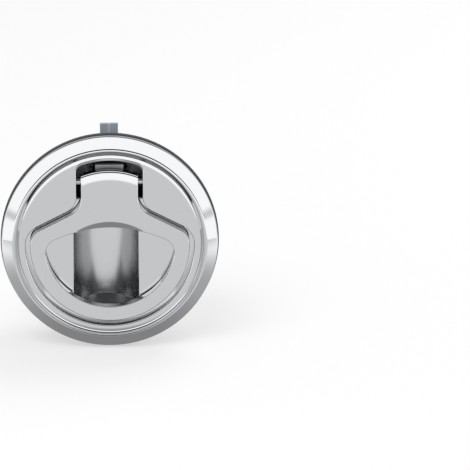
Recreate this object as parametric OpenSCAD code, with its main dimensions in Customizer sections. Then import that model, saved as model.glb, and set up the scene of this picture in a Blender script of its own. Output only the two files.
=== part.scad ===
// Flush pull latch for a round hole in a door or drawer panel, in millimetres.
// +Z is the way the bolt comes out, -Y is the side that the hand reaches.
// The origin is the centre of the seal's rear face, which lies on the panel.

/* [Flange] */
// Width of the flange beyond the spigot
flange_lip = 6.4; // [5.5:0.1:8]
// Width of the side wall's slant, seen from the front
side_w = 0.75; // [0.3:0.05:1]
// Height of the side wall
side_h = 2.0; // [1.5:0.1:3]
// Width of the bevel, seen from the front
bevel_w = 2.7; // [2:0.1:3]
// Height of the bevel
bevel_h = 2.2; // [1.5:0.1:3]
// Width of the rounded shoulder round the face
shoulder_w = 1.5; // [0.8:0.1:1.6]
// Height of the rounded shoulder
shoulder_h = 0.8; // [0.5:0.1:1.2]
// Thickness of the seal under the flange
gasket_h = 1.2; // [0.8:0.1:2]
// How far the seal shows beyond the flange
gasket_lip = 0.35; // [0.1:0.05:0.6]

/* [Body] */
// Radius of the spigot that fills the panel's hole
spigot_r = 25; // [24:0.1:27]
// Length of the spigot behind the panel's face
spigot_len = 9; // [6:0.5:12]
// Step down from the spigot to the barrel
barrel_step = 0.4; // [0.2:0.1:0.6]
// Wall of the barrel
barrel_wall = 1.8; // [1.4:0.1:2.2]
// Length of the barrel behind the panel's face
barrel_len = 20.3; // [20:0.1:24]
// Thickness of the floor behind the handle
floor_t = 2.0; // [1.6:0.1:2.4]

/* [Handle] */
// Thickness of the handle's plate
pull_t = 3.6; // [3.2:0.1:3.8]
// From the handle's round edge in to the spigot's radius
pull_inset = 1.8; // [1.4:0.1:3]
// From the top of the tongue in to the spigot's radius
tongue_inset = 3.2; // [2.8:0.1:4]
// Width of the tongue
tongue_w = 16.6; // [15:0.1:18]
// Radius of the tongue's two corners
tongue_corner = 1.0; // [0.5:0.1:2]
// Radius along the tongue's front top edge
tongue_nose = 2.2; // [1.5:0.1:2.6]
// Radius of the hollow below the tongue
neck_r = 6; // [5:0.1:7]
// Slope of the handle's shoulders in degrees
shoulder_angle = 27; // [22:1:32]
// Radius of the handle's outer shoulders
shoulder_r = 5; // [4:0.1:7]
// How far the plate's rear edge is set back, so that it clears the seat as it lifts
back_inset = 0.4; // [0.3:0.05:0.6]
// Height of that set-back
back_t = 1.0; // [0.8:0.1:1.4]
// Gap between the handle and its seat, all round
edge_gap = 1.3; // [0.8:0.1:1.5]
// Gap under the handle
lift_gap = 1.0; // [0.8:0.1:1.4]
// How far the seat's top edge lies beyond the spigot's radius
seat_top = 0.3; // [0:0.1:0.6]

/* [Finger hole] */
// Width of the ring below the finger hole
ring_w = 4.25; // [3.5:0.05:5]
// Radius of the finger hole's upper edge
brow_r = 39.7; // [34:0.1:46]
// From the spigot's radius down to the finger hole's upper edge
brow_drop = 20.4; // [19.5:0.1:21.5]
// Radius of the finger hole's two corners
hole_corner = 4.5; // [3:0.1:5.5]
// Radius of the scoop above the finger hole
scoop_r = 18.2; // [16:0.1:20]
// Width of the scoop at its middle
scoop_w = 2.2; // [1.5:0.1:2.6]
// Depth of the scoop
scoop_depth = 1.5; // [1:0.1:2]

/* [Finger trough] */
// Radius of the trough
trough_r = 9.3; // [8:0.1:10]
// Sideways place of the trough's middle
trough_x = -1.1; // [-1.5:0.1:1.5]
// Wall of the trough
trough_wall = 1.5; // [1.2:0.1:2]
// How far the trough's lower end slopes
trough_slope = 2.5; // [1:0.1:3]

/* [Hinge] */
// Radius of the hinge pin
pin_r = 1.2; // [1:0.05:1.3]
// From the top of the tongue down to the hinge pin
pin_drop = 4.3; // [4:0.1:4.8]
// From the face back to the hinge pin
pin_depth = 5.2; // [5.1:0.05:5.6]
// Length of the hinge pin
pin_len = 24; // [22:0.5:26]
// Opening angle of the handle in degrees
pull_angle = 45; // [30:1:45]
// Width of the hinge knuckle
hub_w = 8.1; // [7.5:0.1:8.4]
// Radius of the hinge knuckle
hub_r = 3.2; // [2.6:0.1:3.4]

/* [Lever] */
// Length of the lever behind the handle
lever_len = 9; // [8.6:0.1:9.4]
// Angle of the lever above the level, with the handle flat
lever_rise = 18; // [15:1:20]
// Width of the lever
lever_w = 4; // [3:0.1:5]
// Thickness of the lever
lever_t = 2.2; // [1.6:0.1:2.4]
// Radius of the lever's tip
lever_tip = 1.5; // [1.2:0.1:1.7]

/* [Bolt] */
// Width of the bolt's bar
bar_w = 9; // [8:0.1:10]
// Thickness of the bolt
bolt_t = 5; // [4.8:0.1:5.2]
// Width of the bolt's tab
tab_w = 5.3; // [4.5:0.1:6]
// How far the tab stands out beyond the spigot
tab_reach = 5.8; // [4.5:0.1:6]
// Flat land on the end of the tab, before its slope
tab_land = 1.4; // [1:0.1:2.5]
// Thickness of the lug that the lever pushes
lug_t = 3; // [2.4:0.1:3.4]
// Wire of the bolt's spring
bolt_wire = 0.8; // [0.6:0.05:0.9]
// Radius of the spring's guide rod
rod_r = 1.2; // [1:0.05:1.3]
// Length of the bolt's spring with the bolt out
bolt_spring_len = 14; // [13:0.5:15]
// Turns of the bolt's spring
bolt_turns = 6; // [4:1:8]

/* [Handle springs] */
// Wire of the handle's springs
coil_wire = 0.7; // [0.5:0.05:0.8]
// Turns of each of the handle's springs
coil_turns = 4; // [3:1:5]
// Length of the springs' legs
coil_leg = 6; // [4:0.5:7]

/* [Cover and bracket] */
// Thickness of the back cover
cover_t = 2; // [1.5:0.1:2.5]
// Radius of the cover screws' shanks
cover_screw_r = 1.45; // [1.2:0.05:1.6]
// Length of the cover screws under the head
cover_screw_len = 9; // [7:0.5:11]
// Radius of the bracket screws' shanks
strap_screw_r = 1.95; // [1.7:0.05:2.2]
// Width of the bracket
strap_w = 14; // [10:0.5:16]
// Thickness of the bracket's sheet
strap_t = 1.6; // [1.2:0.1:2]
// Length of the bracket's legs
strap_leg = 21.2; // [20:0.2:24]
// Thickness of the lock washers
washer_t = 0.9; // [0.7:0.1:1.2]
// Thickness of the panel that the bracket is drawn on
panel_t = 9; // [6:0.5:12]

/* [Hidden] */
$fn = 96;

// Clearances
gap = 0.3;
run_gap = 0.04;
seat_gap = 0.05;
over = 0.5;
sweep_gap = 0.4;
cam_gap_y = 0.15;
cam_gap_z = 0.25;
cam_loss = 0.07;

// Walls and set-backs inside the body
pin_wall = 1;
snap_share = 0.7;
slot_room = 2;
cheek_back = 1.6;
knuckle_rise = 0.6;
knuckle_deep = 0.4;
neck_drop = 3.6;
rail_lead = 2.5;
guide_rise = 0.9;
guide_h = 14.7;
trough_rise = 1.4;
trough_inset = 0.45;
spring_inset = 0.95;
post_bite = 0.4;
strap_post_bite = 0.2;
bore_floor = 1.2;
bore_run = 1;
bore_room = 0.7;
pin_room = 0.1;
scoop_lip = 0.2;
lug_inset = 1;
coil_room = 0.4;
coil_inset = 0.35;
leg_lead = 1;
leg_room = 1.2;
foot_inset = 1.6;

// Shapes of the screws' heads and of the lock washers
head_share = 0.6;
head_top = 0.72;
recess_reach = 0.55;
recess_start = 0.45;
recess_w = 0.7;
washer_inset = 0.2;
washer_room = 0.15;
washer_slit = 0.8;

// Places along Y
flange_back = -gasket_h;
flange_h = shoulder_h + bevel_h + side_h;
face_y = flange_back - flange_h;
pull_back = face_y + pull_t;
floor_front = pull_back + lift_gap;
floor_back = floor_front + floor_t;
pin_y = face_y + pin_depth;
cover_back = barrel_len + cover_t;

// Radii round the Y axis
flange_r = spigot_r + flange_lip;
face_r = flange_r - side_w - bevel_w - shoulder_w;
barrel_r = spigot_r - barrel_step;
chamber_r = barrel_r - barrel_wall;
pull_r = spigot_r - pull_inset;
tongue_r = spigot_r - tongue_inset;
seat_r = spigot_r + seat_top;
finger_r = pull_r - ring_w;
brow_z = spigot_r - brow_drop;

// The handle's outline
tongue_hw = tongue_w / 2;
slot_hw = tongue_hw + edge_gap;
pin_z = tongue_r - pin_drop;
neck_z = pin_z - neck_drop;
shoulder_n = [sin(shoulder_angle), cos(shoulder_angle)];
neck_c = [tongue_hw + neck_r, neck_z];
shoulder_k = neck_c * shoulder_n - neck_r - shoulder_r;
shoulder_s = sqrt(pow(pull_r - shoulder_r, 2) - pow(shoulder_k, 2));
shoulder_c = [
    shoulder_k * shoulder_n[0] + shoulder_s * shoulder_n[1],
    shoulder_k * shoulder_n[1] - shoulder_s * shoulder_n[0]
];

// The finger hole's corner lies inside the ring's circle and inside the brow's circle
brow_c = brow_z - brow_r;
corner_ring = finger_r - hole_corner;
corner_brow = brow_r - hole_corner;
corner_z = (pow(corner_brow, 2) - pow(corner_ring, 2) - pow(brow_c, 2)) / (-2 * brow_c);
corner_x = sqrt(pow(corner_ring, 2) - pow(corner_z, 2));

// The hinge: the sweep is the room that the tongue's rounded top needs as it turns
nose_c = [tongue_nose - pin_depth, pin_drop - tongue_nose];
sweep_r = norm(nose_c) + tongue_nose + sweep_gap;
sweep_wall = 1.2;
slot_bottom = pin_z - hub_r - slot_room;
cheek_w = pin_len / 2 + pin_wall - slot_hw;
knuckle_top = pin_z + hub_r + knuckle_rise;
knuckle_back = pin_y + hub_r + knuckle_deep;

// The lever's tip, and the bolt's travel that it makes
tip_y = pin_y + lever_len * cos(lever_rise);
tip_z = pin_z + lever_len * sin(lever_rise);
bolt_travel = lever_len * (sin(lever_rise) + sin(pull_angle - lever_rise)) - cam_loss;

// The bolt
bolt_back = barrel_len - gap;
bolt_front = bolt_back - bolt_t;
bolt_mid = (bolt_front + bolt_back) / 2;
bar_top = sqrt(pow(chamber_r - gap, 2) - pow(bar_w / 2, 2));
tab_top = spigot_r + tab_reach;
tab_slope = bolt_t - tab_land;
lug_top = tip_z - lever_tip - cam_gap_z;
lug_front = tip_y - lever_tip + cam_gap_y;
spring_floor = -(finger_r - spring_inset);
bar_bottom = spring_floor + bolt_spring_len;
rod_in_bolt = 1.5;
rod_seat = 3;
bore_depth = rod_in_bolt + bolt_travel + bore_room;
bolt_coil_r = rod_r + gap + bolt_wire / 2;

// The guide behind the trough
rail_t = 2;
rail_x = bar_w / 2 + gap;
rail_front = bolt_front - rail_lead;
guide_top = brow_z + guide_rise;

// The finger trough
trough_top = brow_z + trough_rise;
trough_floor = floor_front + trough_r;
trough_end = -(finger_r - trough_inset);
shell_r = trough_r + trough_wall;

// The handle's springs
coil_r = pin_r + coil_room + coil_wire / 2;
coil_out = coil_r + coil_wire / 2;
coil_x0 = hub_w / 2 + gap + coil_wire / 2;
coil_x1 = tongue_hw - coil_inset;

// Rubber stops under the ring
bumper_r = 1.3;
bumper_ring = pull_r - ring_w / 2;
bumper_angle = -20;
bumper_sink = 1.0;

// Screws and their posts
post_r = 3.2;
post_ring = chamber_r - post_r + post_bite;
cover_head_r = 2.75;
cover_head_h = 1.8;
strap_post_r = 3.8;
strap_post_x = chamber_r - strap_post_r + strap_post_bite;
strap_head_r = 3.6;
strap_head_h = 2.6;
strap_tip_y = 8;

// The bracket
leg_in = spigot_r + leg_room;
leg_out = leg_in + strap_t;
strap_in = panel_t + strap_leg - strap_t;
strap_out = panel_t + strap_leg;
bend_in = 0.8;
bend_out = bend_in + strap_t;
foot_tip = flange_r - foot_inset;

function arc(cx, cy, r, a0, a1, n) =
    [for (i = [0:n]) let (a = a0 + (a1 - a0) * i / n) [cx + r * cos(a), cy + r * sin(a)]];

function both_sides(right) =
    concat(right, [for (i = [len(right) - 2:-1:1]) [-right[i][0], right[i][1]]]);

// The handle's outline, grown by g: a tongue with a round top, hollow shoulders and a round ring
function pull_outline(g, top_r) =
    let (
        corner = tongue_corner + g,
        side = tongue_hw + g,
        cx = side - corner,
        cz = sqrt(pow(top_r - corner, 2) - pow(cx, 2)),
        top_a = atan2(cz, cx),
        ring_a = atan2(shoulder_c[1], shoulder_c[0])
    )
    both_sides(concat(
        arc(0, 0, top_r, 90, top_a + 1, 6),
        arc(cx, cz, corner, top_a, 0, 6),
        arc(neck_c[0], neck_c[1], neck_r - g, 180, 270 - shoulder_angle, 12),
        arc(shoulder_c[0], shoulder_c[1], shoulder_r + g, 90 - shoulder_angle, ring_a, 12),
        arc(0, 0, pull_r + g, ring_a - 3, -90, 30)
    ));

// The finger hole: a round lower edge, a flatter upper edge and rounded corners
function finger_outline() =
    let (
        brow_a = atan2(corner_z - brow_c, corner_x),
        ring_a = atan2(corner_z, corner_x)
    )
    both_sides(concat(
        arc(0, brow_c, brow_r, 90, brow_a + 1, 12),
        arc(corner_x, corner_z, hole_corner, brow_a, ring_a, 10),
        arc(0, 0, finger_r, ring_a - 3, -90, 26)
    ));

// Points of a tube that follows a path, ring by ring
function ring_at(path, i, r, sides) =
    let (
        before = path[max(i - 1, 0)],
        after = path[min(i + 1, len(path) - 1)],
        t = (after - before) / norm(after - before),
        side = cross(t, [1, 0, 0]),
        n = side / norm(side),
        b = cross(t, n)
    )
    [for (k = [0:sides - 1]) path[i] + r * (cos(360 * k / sides) * n + sin(360 * k / sides) * b)];

module wire(path, r, sides = 8) {
    count = len(path);
    points = [for (i = [0:count - 1]) each ring_at(path, i, r, sides)];
    walls = [
        for (i = [0:count - 2], k = [0:sides - 1])
            let (a = i * sides + k, c = i * sides + (k + 1) % sides)
            [a, c, c + sides, a + sides]
    ];
    start = [for (k = [sides - 1:-1:0]) k];
    finish = [for (k = [0:sides - 1]) (count - 1) * sides + k];
    polyhedron(points, concat([start], walls, [finish]), convexity = 10);
}

// A flat outline in X and Z, made t thick from y0 backwards
module plate(y0, t) {
    translate([0, y0 + t, 0]) rotate([90, 0, 0]) linear_extrude(t) children();
}

// A flat outline in Y and Z, made w wide from x0 to the right
module side_plate(x0, w) {
    translate([x0, 0, 0]) rotate([90, 0, 90]) linear_extrude(w) children();
}

// A profile of radius and Y, turned about the Y axis
module turned() {
    rotate([-90, 0, 0]) rotate_extrude() children();
}

// A rod along Y, from y0 backwards
module rod_y(x, z, y0, length, r) {
    translate([x, y0, z]) rotate([-90, 0, 0]) cylinder(h = length, r = r);
}

// A rod along X, centred on the middle plane
module rod_x(y, z, length, r) {
    translate([-length / 2, y, z]) rotate([0, 90, 0]) cylinder(h = length, r = r);
}

// A block between two corners
module block(low, high) {
    translate(low) cube(high - low);
}

module flange_profile() {
    polygon(concat(
        [[0, flange_back + over], [0, face_y]],
        [
            for (a = [0:15:90])
                [face_r + shoulder_w * sin(a), face_y + shoulder_h * (1 - cos(a))]
        ],
        [
            [face_r + shoulder_w + bevel_w, face_y + shoulder_h + bevel_h],
            [flange_r, flange_back],
            [barrel_r - over, flange_back],
            [barrel_r - over, flange_back + over]
        ]
    ));
}

module housing_shell() {
    difference() {
        union() {
            turned() flange_profile();
            rod_y(0, 0, flange_back - over, barrel_len - flange_back + over, barrel_r);
            rod_y(0, 0, 0, spigot_len, spigot_r);
        }
        rod_y(0, 0, floor_back, barrel_len, chamber_r);
    }
}

module housing_inside() {
    // shell of the finger trough
    intersection() {
        translate([trough_x, floor_front, -chamber_r - over])
            cylinder(h = trough_top + trough_wall + chamber_r + over, r = shell_r);
        block([-chamber_r, floor_back - over, -chamber_r - over], [chamber_r, barrel_len, chamber_r]);
    }
    // rails on both sides of the bolt
    for (s = [-1, 1])
        translate([s * (rail_x + rail_t / 2), 0, 0])
            block([-rail_t / 2, rail_front, -chamber_r - over], [rail_t / 2, barrel_len, chamber_r + over]);
    // guide block and spring seat between the rails
    block([-rail_x - over, trough_floor, guide_top - guide_h], [rail_x + over, bolt_front - gap, guide_top]);
    block([-rail_x - over, rail_front, -chamber_r - over], [rail_x + over, barrel_len, spring_floor]);
    // cheeks that hold the hinge pin
    for (s = [-1, 1])
        translate([s * (slot_hw + cheek_w / 2), 0, 0])
            block(
                [-cheek_w / 2, floor_back - over, pin_z - hub_r],
                [cheek_w / 2, pin_y + pin_r + cheek_back, pin_z + hub_r]
            );
    for (a = [45:90:315])
        rod_y(post_ring * cos(a), post_ring * sin(a), floor_back - over, barrel_len - floor_back + over, post_r);
    for (s = [-1, 1])
        rod_y(s * strap_post_x, 0, floor_back - over, barrel_len - floor_back + over, strap_post_r);
}

module handle_seat() {
    plate(face_y - over, floor_front - face_y + over) polygon(pull_outline(edge_gap, seat_r));
    // room for the tongue's top as it turns, inside the spigot's wall
    intersection() {
        side_plate(-slot_hw, 2 * slot_hw)
            intersection() {
                translate([pin_y, pin_z]) circle(r = sweep_r);
                translate([floor_front - over, pin_z]) square([2 * sweep_r, 2 * sweep_r]);
            }
        rod_y(0, 0, face_y, barrel_len, spigot_r - sweep_wall);
    }
    block([-slot_hw, floor_front - over, slot_bottom], [slot_hw, floor_back + over, pin_z + over]);
}

module trough_cut() {
    intersection() {
        translate([trough_x, floor_front, -spigot_r]) cylinder(h = spigot_r + trough_top, r = trough_r);
        side_plate(-spigot_r, 2 * spigot_r)
            polygon([
                [floor_front - over, trough_top + over],
                [trough_floor + over, trough_top + over],
                [trough_floor + over, trough_end],
                [trough_floor, trough_end],
                [floor_front, trough_end - trough_slope],
                [floor_front - over, trough_end - trough_slope]
            ]);
    }
}

module housing() {
    color([0.86, 0.87, 0.88])
        difference() {
            union() {
                housing_shell();
                intersection() {
                    housing_inside();
                    rod_y(0, 0, floor_back - 2 * over, barrel_len - floor_back + 2 * over, chamber_r + over);
                }
            }
            handle_seat();
            trough_cut();
            // seats of the hinge pin, open to the back so that it snaps in
            rod_x(pin_y, pin_z, pin_len + 2 * pin_room, pin_r + run_gap / 4);
            block(
                [-pin_len / 2 - pin_room, pin_y, pin_z - snap_share * pin_r],
                [pin_len / 2 + pin_room, pin_y + 2 * hub_r, pin_z + snap_share * pin_r]
            );
            // the tab's way out, open to the back
            block([-tab_w / 2 - gap, bolt_front - gap, 0], [tab_w / 2 + gap, barrel_len + over, spigot_r + over]);
            // bore for the spring's guide rod
            translate([0, bolt_mid, spring_floor - rod_seat]) cylinder(h = rod_seat + over, r = rod_r + run_gap / 4);
            for (a = [45:90:315])
                rod_y(
                    post_ring * cos(a), post_ring * sin(a), cover_back - cover_screw_len - bore_run,
                    cover_screw_len, cover_screw_r + seat_gap
                );
            for (s = [-1, 1]) {
                rod_y(s * strap_post_x, 0, floor_back + bore_floor, barrel_len, strap_screw_r + seat_gap);
                rotate([0, -s * bumper_angle, 0])
                    rod_y(s * bumper_ring, 0, floor_front - over, bumper_sink + over, bumper_r + seat_gap);
            }
        }
}

module pull_handle() {
    color([0.80, 0.81, 0.82])
        difference() {
            union() {
                plate(face_y, pull_t - back_t) polygon(pull_outline(0, tongue_r));
                plate(pull_back - back_t, back_t) polygon(pull_outline(-back_inset, tongue_r - back_inset));
                side_plate(-hub_w / 2, hub_w)
                    union() {
                        translate([pin_y, pin_z]) circle(r = hub_r);
                        translate([pull_back - over, pin_z]) square([knuckle_back - pull_back + over, knuckle_top - pin_z]);
                        translate([pull_back - over, pin_z - hub_r]) square([pin_y - pull_back + over, hub_r]);
                    }
                translate([0, pin_y, pin_z]) rotate([lever_rise, 0, 0]) {
                    block([-lever_w / 2, 0, -lever_t / 2], [lever_w / 2, lever_len, lever_t / 2]);
                    translate([-lever_w / 2, lever_len, 0]) rotate([0, 90, 0]) cylinder(h = lever_w, r = lever_tip);
                }
            }
            plate(face_y - over, pull_t + 2 * over) polygon(finger_outline());
            // scoop above the finger hole
            intersection() {
                translate([0, face_y, brow_z + scoop_w - scoop_lip - scoop_r])
                    rotate([-90, 0, 0])
                        cylinder(h = scoop_depth, r1 = scoop_r, r2 = scoop_r - scoop_w);
                block([-spigot_r, face_y - over, 0], [spigot_r, face_y + pull_t, spigot_r]);
            }
            // rounded front edge along the top of the tongue
            intersection() {
                turned()
                    difference() {
                        translate([tongue_r - tongue_nose, face_y - over]) square([tongue_nose + over, tongue_nose + over]);
                        translate([tongue_r - tongue_nose, face_y + tongue_nose]) circle(r = tongue_nose);
                    }
                block([-tongue_w, face_y - over, pin_z], [tongue_w, face_y + tongue_nose, spigot_r]);
            }
            // hollows for the two springs
            for (s = [-1, 1])
                translate([s * (hub_w / 2 + tongue_w / 4 + over / 2), 0, 0])
                    rod_x(pin_y, pin_z, tongue_w / 2 + over, coil_out + coil_room);
            rod_x(pin_y, pin_z, hub_w + 1, pin_r + run_gap);
        }
}

module hinge_pin() {
    color([0.62, 0.64, 0.66]) rod_x(pin_y, pin_z, pin_len, pin_r);
}

// A torsion spring: one leg lies on the floor's back, the other presses the handle's back
module handle_spring(s) {
    turn_end = 360 * coil_turns - 180;
    steps = 18 * coil_turns - 9;
    leg_y = pull_back + coil_wire / 2 + seat_gap - pin_y;
    path = concat(
        [[coil_x0, coil_r, -coil_leg - leg_lead], [coil_x0, coil_r, -coil_leg / 2]],
        [
            for (i = [0:steps])
                let (a = turn_end * i / steps + 90)
                [coil_x0 + (coil_x1 - coil_x0) * i / steps, coil_r * sin(a), -coil_r * cos(a)]
        ],
        [[coil_x1, -coil_r, -coil_wire / 2], [coil_x1, leg_y, -coil_out * 0.9], [coil_x1, leg_y, -coil_leg]]
    );
    color([0.55, 0.57, 0.60])
        translate([0, pin_y, pin_z])
            wire([for (p = path) [s * p[0], p[1], p[2]]], coil_wire / 2);
}

module latch_bolt() {
    color([0.52, 0.57, 0.61])
        difference() {
            union() {
                block([-bar_w / 2, bolt_front, bar_bottom], [bar_w / 2, bolt_back, bar_top]);
                block([-tab_w / 2, bolt_front, 0], [tab_w / 2, bolt_back, tab_top]);
                block(
                    [-bar_w / 2 + lug_inset, lug_front, lug_top - lug_t],
                    [bar_w / 2 - lug_inset, bolt_front + over, lug_top]
                );
            }
            // slope on the side that meets the strike
            side_plate(-bar_w / 2, bar_w)
                polygon([
                    [bolt_front + tab_land, tab_top],
                    [bolt_back, tab_top - tab_slope],
                    [bolt_back + over, tab_top - tab_slope],
                    [bolt_back + over, tab_top + over],
                    [bolt_front + tab_land, tab_top + over]
                ]);
            translate([0, bolt_mid, bar_bottom - over]) cylinder(h = bore_depth + over, r = rod_r + gap);
        }
}

module bolt_spring() {
    low = spring_floor + bolt_wire / 2 + seat_gap;
    high = bar_bottom - bolt_wire / 2 - seat_gap;
    steps = 18 * bolt_turns;
    color([0.60, 0.62, 0.64])
        wire_up([
            for (i = [0:steps])
                let (a = 360 * bolt_turns * i / steps)
                [bolt_coil_r * cos(a), bolt_mid + bolt_coil_r * sin(a), low + (high - low) * i / steps]
        ]);
}

// A wire that winds about an upright axis is one about X, turned upright
module wire_up(path) {
    rotate([0, -90, 0]) wire([for (p = path) [p[2], p[1], -p[0]]], bolt_wire / 2);
}

module spring_guide_rod() {
    color([0.62, 0.64, 0.66])
        translate([0, bolt_mid, spring_floor - rod_seat])
            cylinder(h = rod_seat + bolt_spring_len + rod_in_bolt, r = rod_r);
}

module handle_bumper(s) {
    color([0.12, 0.12, 0.13])
        rotate([0, -s * bumper_angle, 0])
            rod_y(s * bumper_ring, 0, pull_back + seat_gap, lift_gap + bumper_sink - seat_gap, bumper_r);
}

module gasket() {
    color([0.16, 0.17, 0.18])
        difference() {
            rod_y(0, 0, flange_back, gasket_h, flange_r + gasket_lip);
            rod_y(0, 0, flange_back - over, gasket_h + 2 * over, spigot_r + gap);
        }
}

module back_cover() {
    color([0.70, 0.71, 0.73])
        difference() {
            rod_y(0, 0, barrel_len, cover_t, barrel_r);
            for (a = [45:90:315])
                rod_y(post_ring * cos(a), post_ring * sin(a), barrel_len - over, cover_t + 2 * over, cover_screw_r + gap);
            for (s = [-1, 1])
                rod_y(s * strap_post_x, 0, barrel_len - over, cover_t + 2 * over, strap_screw_r + gap);
        }
}

// A screw along Y with a round head and a cross recess, its head's underside at y0
module screw(y0, length, shank_r, head_r, head_h) {
    difference() {
        union() {
            rod_y(0, 0, y0 - length, length + over, shank_r);
            rod_y(0, 0, y0, head_h * head_share, head_r);
            translate([0, y0 + head_h * head_share, 0]) rotate([-90, 0, 0])
                cylinder(h = head_h * (1 - head_share), r1 = head_r, r2 = head_r * head_top);
        }
        for (a = [0, 90])
            rotate([0, a, 0])
                block(
                    [-head_r * recess_reach, y0 + head_h * recess_start, -recess_w / 2],
                    [head_r * recess_reach, y0 + head_h + over, recess_w / 2]
                );
    }
}

module cover_screw(i) {
    a = 45 + 90 * (i - 1);
    color([0.58, 0.60, 0.62])
        translate([post_ring * cos(a), 0, post_ring * sin(a)])
            screw(cover_back, cover_screw_len, cover_screw_r, cover_head_r, cover_head_h);
}

module mounting_bracket() {
    right = concat(
        [[0, strap_out]],
        arc(leg_out - bend_out, strap_out - bend_out, bend_out, 90, 0, 8),
        arc(leg_out + bend_in, panel_t + bend_out, bend_in, 180, 270, 6),
        [[foot_tip, panel_t + strap_t], [foot_tip, panel_t]],
        arc(leg_out + bend_in, panel_t + bend_out, bend_out, 270, 180, 8),
        arc(leg_in - bend_in, strap_in - bend_in, bend_in, 0, 90, 6),
        [[0, strap_in]]
    );
    color([0.66, 0.68, 0.70])
        difference() {
            translate([0, 0, -strap_w / 2]) linear_extrude(strap_w) polygon(both_sides(right));
            for (s = [-1, 1])
                rod_y(s * strap_post_x, 0, strap_in - over, strap_t + 2 * over, strap_screw_r + gap);
        }
}

module bracket_screw(s) {
    color([0.58, 0.60, 0.62])
        translate([s * strap_post_x, 0, 0])
            screw(
                strap_out + washer_t, strap_out + washer_t - strap_tip_y,
                strap_screw_r, strap_head_r, strap_head_h
            );
}

// A split ring under the bracket screw's head
module lock_washer(s) {
    color([0.45, 0.46, 0.48])
        translate([s * strap_post_x, 0, 0])
            difference() {
                rod_y(0, 0, strap_out, washer_t, strap_head_r - washer_inset);
                rod_y(0, 0, strap_out - over, washer_t + 2 * over, strap_screw_r + washer_room);
                block([-washer_slit / 2, strap_out - over, 0], [washer_slit / 2, strap_out + washer_t + over, strap_head_r]);
            }
}

housing();
pull_handle();
hinge_pin();
handle_spring(-1);  // handle_spring_left
handle_spring(1);  // handle_spring_right
latch_bolt();
bolt_spring();
spring_guide_rod();
handle_bumper(-1);  // handle_bumper_left
handle_bumper(1);  // handle_bumper_right
gasket();
back_cover();
cover_screw(1);  // cover_screw_1
cover_screw(2);  // cover_screw_2
cover_screw(3);  // cover_screw_3
cover_screw(4);  // cover_screw_4
mounting_bracket();
bracket_screw(-1);  // bracket_screw_left
bracket_screw(1);  // bracket_screw_right
lock_washer(-1);  // lock_washer_left
lock_washer(1);  // lock_washer_right
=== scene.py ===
import math

import bmesh
import bpy
from mathutils import Matrix, Vector


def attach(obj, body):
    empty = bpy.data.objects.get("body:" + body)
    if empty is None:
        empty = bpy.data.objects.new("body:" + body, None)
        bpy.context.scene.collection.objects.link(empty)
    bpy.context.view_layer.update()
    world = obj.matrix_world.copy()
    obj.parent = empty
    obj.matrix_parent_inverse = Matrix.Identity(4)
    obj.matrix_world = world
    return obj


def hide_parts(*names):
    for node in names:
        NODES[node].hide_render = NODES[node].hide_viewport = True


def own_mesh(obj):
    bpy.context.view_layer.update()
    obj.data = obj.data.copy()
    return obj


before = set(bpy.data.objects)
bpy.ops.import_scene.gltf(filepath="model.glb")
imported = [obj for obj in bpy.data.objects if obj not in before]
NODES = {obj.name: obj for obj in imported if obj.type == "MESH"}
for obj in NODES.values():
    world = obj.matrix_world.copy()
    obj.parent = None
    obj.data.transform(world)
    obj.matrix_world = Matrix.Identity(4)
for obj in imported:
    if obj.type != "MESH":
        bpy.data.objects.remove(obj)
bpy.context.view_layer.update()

MM = 0.001

# Sizes in millimetres, as in the part's source. Depths are along Y, and the panel's face is 0.
FACE = -6.2
PULL_BACK = -2.6
FLOOR = -1.6
FLOOR_BACK = 0.4
FLANGE_BACK = -1.2
SPIGOT_END = 9.0
BARREL_END = 20.3
SPIGOT_R = 25.0
BARREL_R = 24.6
CHAMBER_R = 22.8
SEAT_R = 25.3
EDGE_GAP = 1.3
PULL_R = 23.2
TONGUE_R = 21.8
TONGUE_HALF = 8.3
TONGUE_CORNER = 1.0
SLOT_HALF = 9.6
PIN_Y = -1.0
PIN_Z = 17.5
PIN_R = 1.2
HUB_R = 3.2
HUB_HALF = 4.05
NECK_C = (14.3, 13.9)
NECK_R = 6.0
SHOULDER_R = 5.0
SHOULDER_ANGLE = math.radians(27)
FINGER_R = 18.95
BROW_Z = 4.6
BROW_R = 39.7
HOLE_CORNER = 4.5
TROUGH_X = -1.1
TROUGH_R = 9.3
TROUGH_TOP = 6.0
TROUGH_END = -18.5
TROUGH_SLOPE = 2.5
BOLT_FRONT = 15.0
BOLT_MID = 17.5
POST_R = 3.2
POST_RING = 20.0
STRAP_POST_R = 3.8
STRAP_POST_X = 19.2
SPRING_FLOOR = -18.0
QUARTERS = [math.radians(45 + 90 * i) for i in range(4)]


# Outlines

def arc(cx, cz, r, start, stop, count):
    return [
        (cx + r * math.cos(start + (stop - start) * i / count), cz + r * math.sin(start + (stop - start) * i / count))
        for i in range(count + 1)
    ]


def both_sides(right):
    return right + [(-x, z) for x, z in reversed(right[1:-1])]


def shoulder_centre():
    nx, nz = math.sin(SHOULDER_ANGLE), math.cos(SHOULDER_ANGLE)
    along = NECK_C[0] * nx + NECK_C[1] * nz - NECK_R - SHOULDER_R
    across = math.sqrt((PULL_R - SHOULDER_R) ** 2 - along ** 2)
    return along * nx + across * nz, along * nz - across * nx


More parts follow.
